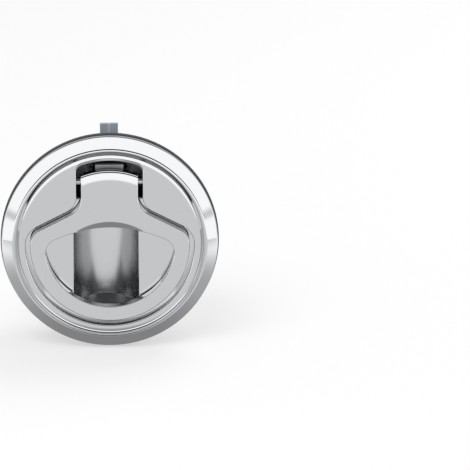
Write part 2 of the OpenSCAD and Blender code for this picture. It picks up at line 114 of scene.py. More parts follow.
def pull_outline(grow, top_r):
    """The handle's outline, grown: a tongue with a round top, hollow shoulders and a round ring."""
    corner = TONGUE_CORNER + grow
    cx = TONGUE_HALF + grow - corner
    cz = math.sqrt((top_r - corner) ** 2 - cx ** 2)
    top_a = math.atan2(cz, cx)
    sx, sz = shoulder_centre()
    ring_a = math.atan2(sz, sx)
    down = -math.pi / 2
    points = arc(0, 0, top_r, math.pi / 2, top_a, 24)[:-1]
    points += arc(cx, cz, corner, top_a, 0, 12)
    points += arc(*NECK_C, NECK_R - grow, math.pi, 3 * math.pi / 2 - SHOULDER_ANGLE, 28)
    points += arc(sx, sz, SHOULDER_R + grow, math.pi / 2 - SHOULDER_ANGLE, ring_a, 28)[:-1]
    points += arc(0, 0, PULL_R + grow, ring_a, down, 72)
    return both_sides(points)


def finger_outline(grow):
    """The finger hole: a round lower edge, a flatter upper edge and rounded corners."""
    ring, brow, corner = FINGER_R + grow, BROW_R + grow, HOLE_CORNER + grow
    brow_c = BROW_Z - BROW_R
    in_ring, in_brow = FINGER_R - HOLE_CORNER, BROW_R - HOLE_CORNER
    cz = (in_brow ** 2 - in_ring ** 2 - brow_c ** 2) / (-2 * brow_c)
    cx = math.sqrt(in_ring ** 2 - cz ** 2)
    brow_a = math.atan2(cz - brow_c, cx)
    ring_a = math.atan2(cz, cx)
    points = arc(0, brow_c, brow, math.pi / 2, brow_a, 30)[:-1]
    points += arc(cx, cz, corner, brow_a, ring_a, 20)[:-1]
    points += arc(0, 0, ring, ring_a, -math.pi / 2, 60)
    return both_sides(points)


def rounded(points, radii, steps=5):
    """An open line of points whose inner corners are turned into arcs of the given radii."""
    line = [points[0]]
    for before, here, after, radius in zip(points, points[1:], points[2:], radii):
        if radius == 0:
            line.append(here)
            continue
        a, b, c = Vector(before), Vector(here), Vector(after)
        back, painted_glow_ahead = (a - b).normalized(), (c - b).normalized()
        half = back.angle(painted_glow_ahead) / 2
        reach = radius / math.tan(half)
        middle = b + (back + painted_glow_ahead).normalized() * radius / math.sin(half)
        first, last = b + back * reach - middle, b + painted_glow_ahead * reach - middle
        for i in range(steps + 1):
            line.append(tuple(middle + first.slerp(last, i / steps)))
    return line + [points[-1]]


# Meshes

def made(name, mesh_work):
    """An object whose mesh is filled in by a function, with its faces turned outwards."""
    work = bmesh.new()
    mesh_work(work)
    bmesh.ops.remove_doubles(work, verts=work.verts, dist=0.00001)
    bmesh.ops.recalc_face_normals(work, faces=work.faces)
    mesh = bpy.data.meshes.new(name)
    work.to_mesh(mesh)
    work.free()
    piece = bpy.data.objects.new(name, mesh)
    bpy.context.scene.collection.objects.link(piece)
    return piece


def loop_of(work, points):
    return [work.verts.new(p) for p in points]


def wall_between(work, first, second):
    count = len(first)
    for i in range(count):
        j = (i + 1) % count
        work.faces.new((first[i], first[j], second[j], second[i]))


def flat_ring(work, outer, inner):
    """Fills the flat space between two loops of vertices."""
    edges = []
    for ring in (outer, inner):
        for i, vert in enumerate(ring):
            pair = (vert, ring[(i + 1) % len(ring)])
            edges.append(work.edges.get(pair) or work.edges.new(pair))
    bmesh.ops.triangle_fill(work, edges=edges, use_beauty=True, normal=(0, -1, 0))


def circle(r, y, count=256):
    return [(r * math.sin(2 * math.pi * i / count), y, r * math.cos(2 * math.pi * i / count)) for i in range(count)]


def at_depth(outline, y):
    return [(x, y, z) for x, z in outline]


def stack(name, rings):
    """A solid from rings of points that are joined one to the next, closed by flat ends."""
    def work_on(work):
        loops = [loop_of(work, ring) for ring in rings]
        for first, second in zip(loops, loops[1:]):
            wall_between(work, first, second)
        work.faces.new(loops[0])
        work.faces.new(loops[-1])
    return made(name, work_on)


def rod_y(x, z, y0, y1, r, count=64):
    rings = [[(x + px, y, z + pz) for px, _, pz in circle(r, 0, count)] for y in (y0, y1)]
    return stack("rod", rings)


def rod_x(y, z, x0, x1, r, count=64):
    rings = [[(x, y + py, z + pz) for py, _, pz in circle(r, 0, count)] for x in (x0, x1)]
    return stack("rod", rings)


def rod_z(x, y, z0, z1, r, count=64):
    rings = [[(x + px, y + py, z) for px, _, py in circle(r, 0, count)] for z in (z0, z1)]
    return stack("rod", rings)


def block(low, high):
    corners = [(low[0], low[1]), (high[0], low[1]), (high[0], high[1]), (low[0], high[1])]
    return stack("block", [[(x, y, z) for x, y in corners] for z in (low[2], high[2])])


def side_plate(outline, x0, x1):
    """A flat outline in Y and Z that is given a width along X."""
    return stack("plate", [[(x, y, z) for y, z in outline] for x in (x0, x1)])


def combine(piece, others, operation):
    """Joins, cuts or keeps the overlap of a piece and several others, which are used up."""
    group = bpy.data.collections.new("used_up")
    for other in others:
        group.objects.link(other)
    change = piece.modifiers.new("combine", "BOOLEAN")
    change.operation = operation
    change.operand_type = "COLLECTION"
    change.collection = group
    change.solver = "EXACT"
    settle(piece)
    for other in others:
        bpy.data.objects.remove(other)
    bpy.data.collections.remove(group)
    return piece


def settle(piece):
    """Turns what the modifiers make into the piece's own mesh."""
    graph = bpy.context.evaluated_depsgraph_get()
    graph.update()
    old = piece.data
    piece.data = bpy.data.meshes.new_from_object(piece.evaluated_get(graph), preserve_all_data_layers=True, depsgraph=graph)
    piece.modifiers.clear()
    bpy.data.meshes.remove(old)


def smooth(piece, crease=32):
    """Smooth shading that breaks at sharp edges and stays flat on the large flat faces."""
    mesh = piece.data
    mesh.polygons.foreach_set("use_smooth", [True] * len(mesh.polygons))
    mesh.set_sharp_from_angle(angle=math.radians(crease))
    weigh = piece.modifiers.new("weigh", "WEIGHTED_NORMAL")
    weigh.keep_sharp = True
    weigh.weight = 100
    settle(piece)
    return piece


def closed(piece, reach=0.0002):
    """Joins the points that lie on each other and turns the faces outwards."""
    work = bmesh.new()
    work.from_mesh(piece.data)
    bmesh.ops.remove_doubles(work, verts=work.verts, dist=reach)
    bmesh.ops.recalc_face_normals(work, faces=work.faces)
    work.to_mesh(piece.data)
    work.free()
    return piece


def path_piece(points):
    """A line of edges for a wire to follow."""
    def work_on(work):
        line = loop_of(work, points)
        for pair in zip(line, line[1:]):
            work.edges.new(pair)
    return made("path", work_on)


def grown(piece, tree, sizes):
    """Runs a geometry tree on a piece with the given sizes and keeps the mesh that it makes."""
    change = piece.modifiers.new("grow", "NODES")
    change.node_group = tree
    for item in tree.interface.items_tree:
        if item.name in sizes:
            change[item.identifier] = sizes[item.name]
    settle(piece)
    return closed(piece)


def finish_piece(piece, name, finish, body, stands_for, scale=MM):
    """Names a piece, sizes it in metres, gives it its finish and fixes it to its body."""
    piece.name = name
    piece.data.name = name
    piece.data.transform(Matrix.Scale(scale, 4))
    piece.data.materials.clear()
    piece.data.materials.append(finish)
    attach(piece, body)
    if stands_for:
        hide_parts(*stands_for)
    return piece


# Shader maths

class Socket:
    """A shader value that Python's own signs can work on."""

    def __init__(self, tree, link):
        self.tree = tree
        self.link = link

    def _sum(self, operation, first, second):
        node = self.tree.nodes.new("ShaderNodeMath")
        node.operation = operation
        for slot, value in zip(node.inputs, (first, second)):
            if isinstance(value, Socket):
                self.tree.links.new(value.link, slot)
            else:
                slot.default_value = value
        return Socket(self.tree, node.outputs[0])

    def __add__(self, other):
        return self._sum("ADD", self, other)

    def __sub__(self, other):
        return self._sum("SUBTRACT", self, other)

    def __rsub__(self, other):
        return self._sum("SUBTRACT", other, self)

    def __mul__(self, other):
        return self._sum("MULTIPLY", self, other)

    def __truediv__(self, other):
        return self._sum("DIVIDE", self, other)

    def __rtruediv__(self, other):
        return self._sum("DIVIDE", other, self)

    __radd__ = __add__
    __rmul__ = __mul__


class Finish:
    """A material or world whose nodes are made one call at a time."""

    def __init__(self, owner):
        owner.use_nodes = True
        self.owner = owner
        self.tree = owner.node_tree
        self.tree.nodes.clear()

    def node(self, kind, sockets=None, **settings):
        node = self.tree.nodes.new(kind if "Node" in kind else "ShaderNode" + kind)
        for key, value in settings.items():
            setattr(node, key, value)
        for key, value in (sockets or {}).items():
            if isinstance(value, list):
                for each in value:
                    self.tree.links.new(each.link, node.inputs[key])
            elif isinstance(value, Socket):
                self.tree.links.new(value.link, node.inputs[key])
            else:
                node.inputs[key].default_value = value
        return node

    def out(self, node, name):
        return Socket(self.tree, node.outputs[name])

    def value(self, kind, name, sockets=None, **settings):
        return self.out(self.node(kind, sockets, **settings), name)

    def ramp(self, value, low, high, to_low=0.0, to_high=1.0, kind="SMOOTHSTEP"):
        sockets = {"Value": value, "From Min": low, "From Max": high, "To Min": to_low, "To Max": to_high}
        return self.value("MapRange", "Result", sockets, interpolation_type=kind)

    def line(self, value, low, high, to_low=0.0, to_high=1.0):
        return self.ramp(value, low, high, to_low, to_high, "LINEAR")

    def math(self, operation, first, second=0.0):
        return self.value("Math", "Value", {0: first, 1: second}, operation=operation)

    def axes(self, place):
        split = self.node("SeparateXYZ", {"Vector": place})
        return [self.out(split, axis) for axis in "XYZ"]

    def mirrored_rays(self):
        """1 for what is seen in a reflection or through glass, and 0 for the rest."""
        path = self.node("LightPath")
        return self.math("MAXIMUM", self.out(path, "Is Glossy Ray"), self.out(path, "Is Transmission Ray"))

    def mix(self, factor, first, second):
        node = self.node("Mix", data_type="RGBA")
        for slot, value in ((0, factor), (6, first), (7, second)):
            if isinstance(value, Socket):
                self.tree.links.new(value.link, node.inputs[slot])
            else:
                node.inputs[slot].default_value = value
        return Socket(self.tree, node.outputs[2])

    def noise(self, place, scale, detail=3.0, roughness=0.5):
        return self.value("TexNoise", "Fac", {"Vector": place, "Scale": scale, "Detail": detail, "Roughness": roughness})

    def object_place(self, stretch=(1, 1, 1)):
        place = self.value("TexCoord", "Object")
        return self.value("Mapping", "Vector", {"Vector": place, "Scale": stretch})


class Shape(Finish):
    """A geometry tree with named inputs, built one call at a time."""

    def __init__(self, name, inputs):
        self.tree = bpy.data.node_groups.new(name, "GeometryNodeTree")
        sides = [("Geometry", "OUTPUT", "Geometry"), ("Geometry", "INPUT", "Geometry"), ("Finish", "INPUT", "Material")]
        sides += [(label, "INPUT", kind) for label, kind in inputs.items()]
        for label, side, kind in sides:
            self.tree.interface.new_socket(label, in_out=side, socket_type="NodeSocket" + kind)
        self.inputs = self.tree.nodes.new("NodeGroupInput")

    def given(self, label):
        return self.out(self.inputs, label)

    def ended(self, geometry):
        whole = self.value("GeometryNodeRealizeInstances", 0, {"Geometry": geometry})
        painted = self.value("GeometryNodeSetMaterial", 0, {"Geometry": whole, "Material": self.given("Finish")})
        self.node("NodeGroupOutput", {"Geometry": painted})
        return self.tree


def wire_tree():
    """A round wire along a line of edges."""
    make = Shape("wire", {"Wire radius": "Float", "Sides": "Int"})
    path = make.value("GeometryNodeMeshToCurve", 0, {"Mesh": make.given("Geometry")})
    sizes = {"Resolution": make.given("Sides"), "Radius": make.given("Wire radius")}
    section = make.value("GeometryNodeCurvePrimitiveCircle", 0, sizes)
    tube = make.value("GeometryNodeCurveToMesh", 0, {"Curve": path, "Profile Curve": section, "Fill Caps": True})
    return make.ended(tube)


def thread_tree():
    """A threaded shank with a short point, in front of the given head, whose underside lies at 0."""
    sizes = {"Shank radius": "Float", "Thread depth": "Float", "Pitch": "Float", "Length": "Float", "Rows": "Int"}
    make = Shape("threaded_shank", sizes)
    shank_r, depth, pitch, length, rows = [make.given(label) for label in sizes]
    sides, point, point_pitches = 32, 0.62, 1.4
    grid_sizes = {"Size X": 1.0, "Size Y": 1.0, "Vertices X": sides + 1, "Vertices Y": rows}
    grid = make.value("GeometryNodeMeshGrid", 0, grid_sizes)
    around, along, _ = make.axes(make.value("GeometryNodeInputPosition", 0))
    around, along = around + 0.5, along + 0.5
    row = 1 / (rows - 1)
    closing = make.line(along, 0.0, row) * make.line(along, 1 - row, 1.0, 1.0, 0.0)
    place = make.line(along, row, 1 - row) * length
    crest = make.math("ABSOLUTE", make.math("FRACT", place / pitch - around) * 2 - 1)
    taper = make.line(place, 0.0, pitch * point_pitches, point, 1.0)
    r = (shank_r - depth + depth * crest) * taper * closing
    angle = around * (2 * math.pi)
    spot = {"X": r * make.math("COSINE", angle), "Y": place - length, "Z": r * make.math("SINE", angle)}
    turned = make.value("CombineXYZ", 0, spot)
    shank = make.value("GeometryNodeSetPosition", 0, {"Geometry": grid, "Position": turned})
    return make.ended(make.value("GeometryNodeJoinGeometry", 0, {"Geometry": [make.given("Geometry"), shank]}))


def ring_tree():
    """Copies of the given piece, evenly spaced on a ring round the Y axis, each turned a little further."""
    sizes = {"Count": "Int", "Ring radius": "Float", "First angle": "Float", "Depth": "Float", "Turn": "Float"}
    make = Shape("ring_of_copies", sizes)
    count, ring_r, first, depth, turn = [make.given(label) for label in sizes]
    index = make.value("GeometryNodeInputIndex", 0)
    angle = first + index * (2 * math.pi) / count
    spot = {"X": ring_r * make.math("COSINE", angle), "Y": depth, "Z": ring_r * make.math("SINE", angle)}
    points = make.value("GeometryNodePoints", 0, {"Count": count, "Position": make.value("CombineXYZ", 0, spot)})
    turned = make.value("CombineXYZ", 0, {"X": 0.0, "Y": index * turn, "Z": 0.0})
    copies = {"Points": points, "Instance": make.given("Geometry"), "Rotation": turned}
    return make.ended(make.value("GeometryNodeInstanceOnPoints", 0, copies))


def metal(name, colour, rough, grain_scale, grain_depth, stretch=(1, 1, 1), spread=0.03, tint=0.04,
          blur=None, patch=None, metallic=1.0):
    """Bare or plated metal: its gloss and colour drift a little, and its grain is a fine bump."""
    make = Finish(bpy.data.materials.new(name))
    place = make.object_place(stretch)
    cloud = make.noise(place, 90.0, 4.0)
    grain = make.noise(place, grain_scale, 6.0, 0.6)
    shade = make.ramp(cloud, 0.3, 0.7, 1.0 - tint, 1.0 + tint)
    base = make.mix(shade - (1.0 - tint), tuple(c * (1 - tint) for c in colour) + (1,),
                    tuple(min(c * (1 + tint), 1) for c in colour) + (1,))
    gloss = make.ramp(cloud, 0.25, 0.75, rough - spread / 2, rough + spread / 2)
    if blur:
        gloss = gloss + blur(make)
    if patch:
        where, patch_colour = patch
        base = make.mix(where(make), base, (*patch_colour, 1))
    bump = make.value("Bump", "Normal", {"Strength": 0.4, "Distance": grain_depth, "Height": grain})
    shader = make.node("BsdfPrincipled", {
        "Base Color": base, "Roughness": gloss, "Normal": bump, "Metallic": metallic
    })
    make.node("OutputMaterial", {"Surface": make.out(shader, "BSDF")})
    return make.owner


CHROME_COLOUR = (0.56, 0.565, 0.575)


def trough_blur(make):
    """How much duller the finger trough is, which was not polished."""
    x, y, z = make.axes(make.value("TexCoord", "Object"))
    across = make.math("ABSOLUTE", x - TROUGH_X * MM)
    inside = make.ramp(across, 9.0 * MM, 10.0 * MM, 1.0, 0.0) * make.ramp(y, -1.2 * MM, 0.8 * MM)
    return inside * make.ramp(z, -22 * MM, -21 * MM) * 0.2


def in_slot(make):
    """1 in the slot above the tongue, which stays as cast and rougher, and 0 elsewhere; its darker colour there is
    painted shade.
    """
    x, y, z = make.axes(make.value("TexCoord", "Object"))
    across = make.ramp(make.math("ABSOLUTE", x), 10.2 * MM, 10.6 * MM, 1.0, 0.0)
    high = make.ramp(z, 18.5 * MM, 19.5 * MM) * make.ramp(z, 24.3 * MM, 24.8 * MM, 1.0, 0.0)
    return across * high * make.ramp(y, -5.4 * MM, -4.9 * MM)


def dull_parts(make):
    return trough_blur(make) + in_slot(make) * 0.25


def chrome_finish():
    # The patch darkens the chrome's colour in the slot above the tongue: painted shade for that recess.
    return metal("chrome", CHROME_COLOUR, 0.05, 900.0, 0.000002, spread=0.02, tint=0.01,
                 blur=dull_parts, patch=(in_slot, (0.26, 0.265, 0.275)))


def cast_and_shade_finish():
    # Darker than the chrome: painted shade for the knuckle in the slot above the tongue, with a rougher gloss.
    return metal("as_cast_with_painted_shade", (0.25, 0.255, 0.265), 0.34, 1500.0, 0.00001, spread=0.08, tint=0.08)


def handle_finish():
    return metal("polished_handle", CHROME_COLOUR, 0.07, 1400.0, 0.000002, stretch=(6, 1, 1), spread=0.02, tint=0.01)


def steel_finish():
    return metal("steel", (0.50, 0.51, 0.52), 0.28, 1500.0, 0.00001)


def spring_finish():
    return metal("spring_steel", (0.42, 0.43, 0.45), 0.3, 2500.0, 0.000006)


def tab_highlight_line(make):
    """A painted highlight: the faint light line down the middle of the bolt's tab."""
    x, _, _ = make.axes(make.value("TexCoord", "Object"))
    return make.ramp(make.math("ABSOLUTE", x), 0.15 * MM, 0.45 * MM, 0.55, 0.0)


def bolt_finish():
    # The patch is a painted highlight, a light line down the middle of the tab.
    return metal("zinc_bolt", (0.42, 0.50, 0.55), 0.42, 2600.0, 0.00003, tint=0.12, spread=0.1,
                 patch=(tab_highlight_line, (0.72, 0.76, 0.78)), metallic=0.35)


def sheet_finish():
    return metal("plated_sheet", (0.52, 0.54, 0.56), 0.32, 700.0, 0.00001, stretch=(1, 1, 8), tint=0.06, spread=0.08)


def rubber_finish():
    make = Finish(bpy.data.materials.new("rubber"))
    place = make.object_place()
    grain = make.noise(place, 3000.0, 4.0)
    cloud = make.noise(place, 120.0)
    base = make.mix(cloud, (0.045, 0.05, 0.055, 1), (0.085, 0.09, 0.1, 1))
    bump = make.value("Bump", "Normal", {"Strength": 0.5, "Distance": 0.00002, "Height": grain})
    gloss = make.ramp(cloud, 0.3, 0.7, 0.5, 0.65)
    shader = make.node("BsdfPrincipled", {"Base Color": base, "Roughness": gloss, "Normal": bump})
    make.node("OutputMaterial", {"Surface": make.out(shader, "BSDF")})
    return make.owner


# The housing

def edge_round(radius, steps=6):
    """Growth and depth of a rounded edge, from the flat face into the wall."""
    return [
        (radius * (1 - math.sin(math.pi / 2 * i / steps)), radius * (1 - math.cos(math.pi / 2 * i / steps)))
        for i in range(steps + 1)
    ]


def flange_profile():
    """Radius and Y from the flat face out over the crowned edge, the step and the bevel to the barrel's end."""
    crown_start, crown_width, crown_end = 25.3, 1.05, math.radians(16)
    crown_r = crown_width / math.sin(crown_end)
    crown = [
        (crown_start + crown_r * math.sin(crown_end * i / 6), crown_r * (1 - math.cos(crown_end * i / 6)))
        for i in range(7)
    ]
    shoulder = rounded(
        [crown[-1], (26.8, 0.31), (27.5, 0.70), (27.78, 0.69), (30.65, 3.0), (31.4, 5.0)],
        [2.5, 0.02, 0.12, 0.25]
    )
    front = [(r, FACE + d) for r, d in crown + shoulder[1:-1]]
    back = [
        (31.4, FLANGE_BACK - 0.2), (31.35, FLANGE_BACK - 0.06), (31.25, FLANGE_BACK),
        (SPIGOT_R, FLANGE_BACK), (SPIGOT_R, SPIGOT_END - 0.2), (SPIGOT_R - 0.2, SPIGOT_END),
        (BARREL_R, SPIGOT_END), (BARREL_R, BARREL_END - 0.2), (BARREL_R - 0.2, BARREL_END),
    ]
    return front + back


def seat_cut():
    """The handle's seat, with a rounded front edge and a ledge above the tongue."""
    edge, first, rise, steps = 0.4, math.radians(15), 0.1, 5
    ledge_y, ledge_r = FACE + 1.9, 24.4
    turns = [first + (math.pi / 2 - first) * i / steps for i in range(steps + 1)]
    seat = [(edge * (1 - math.sin(a)), FACE + edge * (1 - math.cos(a))) for a in turns]
    seat.insert(0, (seat[0][0] + rise / math.tan(first), seat[0][1] - rise))
    rings = [at_depth(pull_outline(EDGE_GAP + g, SEAT_R + g), y) for g, y in seat]
    rings.append(at_depth(pull_outline(EDGE_GAP, SEAT_R), ledge_y))
    rings.append(at_depth(pull_outline(EDGE_GAP, ledge_r), ledge_y))
    rings.append(at_depth(pull_outline(EDGE_GAP, ledge_r), FLOOR))
    return stack("seat", rings)


def trough_cut():
    """The finger trough: a half-round hollow with rounded long edges and a sloping lower end."""
    edge, deep = 0.7, TROUGH_R + FLOOR
    start = math.asin(edge / TROUGH_R)
    side = [(TROUGH_R + edge + 1.0, FLOOR - 0.27)]
    side += [
        (TROUGH_R + edge + edge * math.sin(-a), FLOOR + edge - edge * math.cos(a))
        for a in [math.pi / 2 * i / 6 for i in range(1, 6)]
    ]
    side += [(TROUGH_R * math.cos(a), FLOOR + TROUGH_R * math.sin(a)) for a in
             [start + (math.pi / 2 - start) * i / 40 for i in range(41)]]
    outline = side + [(-x, y) for x, y in reversed(side[:-1])]
    bar = stack("trough", [[(TROUGH_X + x, y, z) for x, y in outline] for z in (-30, TROUGH_TOP)])
    front = FLOOR - 0.5
    limit = side_plate(
        [(front, TROUGH_TOP + 1), (deep + 1, TROUGH_TOP + 1), (deep + 1, TROUGH_END), (deep, TROUGH_END),
         (FLOOR, TROUGH_END - TROUGH_SLOPE), (front, TROUGH_END - TROUGH_SLOPE)],
        -15, 13
    )
    return combine(bar, [limit], "INTERSECT")


def chamber():
    """The room behind the seat, less the posts, rails and walls that stand in it."""
    room = rod_y(0, 0, FLOOR_BACK, BARREL_END + 1, CHAMBER_R, 192)
    rail_in, rail_out, far = 4.8, 6.8, 26
    filled = [
        rod_z(TROUGH_X, FLOOR, -far, TROUGH_TOP + 1.5, TROUGH_R + 1.5, 160),
        block((-rail_in - 0.5, TROUGH_R + FLOOR, -9.2), (rail_in + 0.5, BOLT_FRONT - 0.3, 5.5)),
        block((-rail_in - 0.5, BOLT_FRONT - 2.5, -far), (rail_in + 0.5, far, SPRING_FLOOR)),
    ]
    for s in (-1, 1):
        low, high = sorted((s * rail_in, s * rail_out))
        filled.append(block((low, BOLT_FRONT - 2.5, -far), (high, far, far)))
        low, high = sorted((s * SLOT_HALF, s * 13))
        filled.append(block((low, -1, PIN_Z - HUB_R), (high, PIN_Y + PIN_R + 1.6, PIN_Z + HUB_R)))
        filled.append(rod_y(s * STRAP_POST_X, 0, -1, far, STRAP_POST_R))
    for a in QUARTERS:
        filled.append(rod_y(POST_RING * math.cos(a), POST_RING * math.sin(a), -1, far, POST_R))
    return combine(room, filled, "DIFFERENCE")


def sweep_room():
    """The round room above the slot that the tongue's top turns in."""
    sweep_r, wall = 6.257, 1.2
    turn = rod_x(PIN_Y, PIN_Z, -SLOT_HALF, SLOT_HALF, sweep_r, 160)
    limit = block((-20, FLOOR - 0.5, PIN_Z), (20, 20, 40))
    inside = rod_y(0, 0, -10, 20, SPIGOT_R - wall, 192)
    turn = combine(turn, [limit], "INTERSECT")
    return combine(turn, [inside], "INTERSECT")


def build_housing():
    shell = stack("housing_shell", [circle(r, y) for r, y in flange_profile()])
    cuts = [
        seat_cut(),
        chamber(),
        trough_cut(),
        sweep_room(),
        block((-SLOT_HALF, FLOOR - 0.5, PIN_Z - 5.2), (SLOT_HALF, FLOOR_BACK + 0.5, PIN_Z + 0.5)),
        rod_x(PIN_Y, PIN_Z, -12.1, 12.1, PIN_R + 0.01),
        block((-12.1, PIN_Y, PIN_Z - 0.84), (12.1, PIN_Y + 6.4, PIN_Z + 0.84)),
        block((-2.95, BOLT_FRONT - 0.3, 0), (2.95, BARREL_END + 0.5, 25.5)),
        rod_z(0, BOLT_MID, SPRING_FLOOR - 3, SPRING_FLOOR + 0.5, 1.21),
    ]
    for a in QUARTERS:
        cuts.append(rod_y(POST_RING * math.cos(a), POST_RING * math.sin(a), 12.3, 21.3, 1.5, 32))
    ring, turn = 21.075, math.radians(-20)
    for s in (-1, 1):
        cuts.append(rod_y(s * STRAP_POST_X, 0, 1.6, 21.3, 2.0, 32))
        cuts.append(rod_y(s * ring * math.cos(turn), ring * math.sin(turn), FLOOR - 0.5, FLOOR + 1, 1.35, 32))
    shell = combine(shell, cuts, "DIFFERENCE")
    smooth(shell)
    return finish_piece(shell, "housing_casting", FINISHES["chrome"], "housing", ["housing"])


# The handle

def pull_plate():
    """The handle's flat plate with rounded front edges, its rear edge set back, and the finger hole."""
    edge, rear_step, set_back = 0.35, 1.0, 0.4

    def work_on(work):
        outer = [(-set_back, PULL_BACK), (-set_back, PULL_BACK - rear_step), (0, PULL_BACK - rear_step)]
        outer += [(-g, FACE + d) for g, d in reversed(edge_round(edge))]
        loops = [loop_of(work, at_depth(pull_outline(g, TONGUE_R + g), y)) for g, y in outer]
        for first, second in zip(loops, loops[1:]):
            wall_between(work, first, second)
        hole = [(0.25, PULL_BACK), (0, PULL_BACK - 0.25)]
        hole += [(g, FACE + d) for g, d in reversed(edge_round(edge))]
        holes = [loop_of(work, at_depth(finger_outline(g), y)) for g, y in hole]
        for first, second in zip(holes, holes[1:]):
            wall_between(work, first, second)
        flat_ring(work, loops[0], holes[0])
        flat_ring(work, loops[-1], holes[-1])
    return made("pull_plate", work_on)


def nose_cut():
    """What the crowned and rounded front edge takes off the tongue's top."""
    crown_end, edge_r, reach = math.radians(15), 0.9, 3.3
    crown_r = (reach - edge_r * (1 - math.sin(crown_end))) / math.sin(crown_end)
    start = TONGUE_R - reach
    crown = [
        (start + crown_r * math.sin(crown_end * i / 12), crown_r * (1 - math.cos(crown_end * i / 12)))
        for i in range(13)
    ]
    drop = crown[-1][1]
    centre = (TONGUE_R - edge_r, drop + edge_r * math.cos(crown_end))
    turn = [crown_end + (math.pi / 2 - crown_end) * i / 10 for i in range(1, 11)]
    curve = crown + [(centre[0] + edge_r * math.sin(a), centre[1] - edge_r * math.cos(a)) for a in turn]
    outline = [(r, FACE + d) for r, d in curve]
    outline += [(TONGUE_R + 0.6, outline[-1][1]), (TONGUE_R + 0.6, FACE - 0.6), (start, FACE - 0.6)]
    count = 72
    half = math.radians(30)

    def work_on(work):
        loops = []
        for i in range(count + 1):
            a = -half + 2 * half * i / count
            loops.append(loop_of(work, [(r * math.sin(a), y, r * math.cos(a)) for r, y in outline]))
        for first, second in zip(loops, loops[1:]):
            wall_between(work, first, second)
        work.faces.new(loops[0])
        work.faces.new(loops[-1])
    return made("nose_cut", work_on)


def scoop_cut():
    """The slanted hollow above the finger hole."""
    r, width, depth = 18.2, 2.2, 1.5
    middle = BROW_Z + width - 0.2 - r
    slope = width / depth
    lift = 0.5
    rings = []
    for ring_r, y in ((r + lift * slope, FACE - lift), (r - width, FACE + depth)):
        rings.append([(x, yy, z + middle) for x, yy, z in circle(ring_r, y, 240)])
    cone = stack("scoop", rings)
    return combine(cone, [block((-25, FACE - 1, 0), (25, FACE + 4, 25))], "INTERSECT")


def knuckle():
    back, top = 2.6, PIN_Z + 3.8
    round_part = [
        (PIN_Y + HUB_R * math.cos(math.radians(a)), PIN_Z + HUB_R * math.sin(math.radians(a)))
        for a in range(-90, 1, 6)
    ]
    outline = [(PULL_BACK - 0.5, PIN_Z - HUB_R)] + round_part
    outline += rounded([(back, PIN_Z), (back, top), (PULL_BACK - 0.5, top)], [0.5])
    return side_plate(outline, -HUB_HALF, HUB_HALF)


def lever():
    length, rise, half_t, tip = 9.0, math.radians(18), 1.1, 1.5
    meet = math.asin(half_t / tip)
    outline = [(0, -half_t)]
    outline += arc(length, 0, tip, -math.pi + meet, math.pi - meet, 24)
    outline += [(0, half_t)]
    turned = [
        (PIN_Y + y * math.cos(rise) - z * math.sin(rise), PIN_Z + y * math.sin(rise) + z * math.cos(rise))
        for y, z in outline
    ]
    return side_plate(turned, -2, 2)


def build_handle():
    plate = pull_plate()
    plate = combine(plate, [nose_cut(), scoop_cut()], "DIFFERENCE")
    plate = combine(plate, [knuckle()], "UNION")
    plate = combine(plate, [lever()], "UNION")
    hollow_r = 2.7
    cuts = [rod_x(PIN_Y, PIN_Z, -4.6, 4.6, PIN_R + 0.04)]
    for s in (-1, 1):
        low, high = sorted((s * HUB_HALF, s * 9))
        cuts.append(rod_x(PIN_Y, PIN_Z, low, high, hollow_r))
    plate = combine(plate, cuts, "DIFFERENCE")
    smooth(plate)
    return finish_piece(plate, "lift_handle", FINISHES["handle"], "handle", ["pull_handle"])


# Wire, screws and washers

def arc_turns(first, last, steps):
    return [math.radians(first + (last - first) * i / steps) for i in range(steps + 1)]


def build_handle_spring(side, name):
    """A torsion spring: the coil and its rear leg stay with the housing, and the front leg rides on the handle."""
    wire_r, coil_r, inner_x, outer_x = 0.35, 1.95, 4.7, 7.95
    first, last, steps = 90, 1350, 126
    leg_y, leg_end, rear_end = PULL_BACK + 0.4 - PIN_Y, -6.0, -7.0
    coil = [(inner_x, coil_r, rear_end), (inner_x, coil_r, rear_end / 2), (inner_x, coil_r, -0.6)]
    for i, a in enumerate(arc_turns(first, last, steps)):
        coil.append((inner_x + (outer_x - inner_x) * i / steps, coil_r * math.sin(a), -coil_r * math.cos(a)))
    bend = rounded([(-coil_r, 0), (-coil_r, -0.6), (leg_y, -2.07), (leg_y, leg_end)], [0.5, 0.9])
    leg = [(outer_x, y, z) for y, z in bend]
    for part, points, body, stands_for in (("coil", coil, "housing", [name]), ("leg", leg, "handle", [])):
        path = path_piece([(side * x, PIN_Y + y, PIN_Z + z) for x, y, z in points])
        piece = grown(path, TREES["wire"], {"Wire radius": wire_r, "Sides": 14, "Finish": FINISHES["spring"]})
        smooth(piece, 50)
        finish_piece(piece, f"{name}_{part}", FINISHES["spring"], body, stands_for)


def build_bolt_spring():
    """The bolt's spring, with its end turns lying close."""
    wire_r, coil_r, turns, close_turns = 0.4, 1.9, 7, 0.9
    low, high, top = SPRING_FLOOR + 0.45, -4.45, -4.0
    steps, travel = 24 * turns, 6.8
    close_rise = 2 * wire_r * 0.9 * close_turns
    points = []
    for i in range(steps + 1):
        t = turns * i / steps
        if t < close_turns:
            z = low + close_rise * t / close_turns
        elif t > turns - close_turns:
            z = high - close_rise * (turns - t) / close_turns
        else:
            z = low + close_rise + (high - low - 2 * close_rise) * (t - close_turns) / (turns - 2 * close_turns)
        a = 2 * math.pi * t
        points.append((coil_r * math.cos(a), BOLT_MID + coil_r * math.sin(a), z))
    sizes = {"Wire radius": wire_r, "Sides": 16, "Finish": FINISHES["spring"]}
    piece = smooth(grown(path_piece(points), TREES["wire"], sizes), 50)
    finish_piece(piece, "bolt_coil_spring", FINISHES["spring"], "housing", ["bolt_spring"])
    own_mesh(piece)


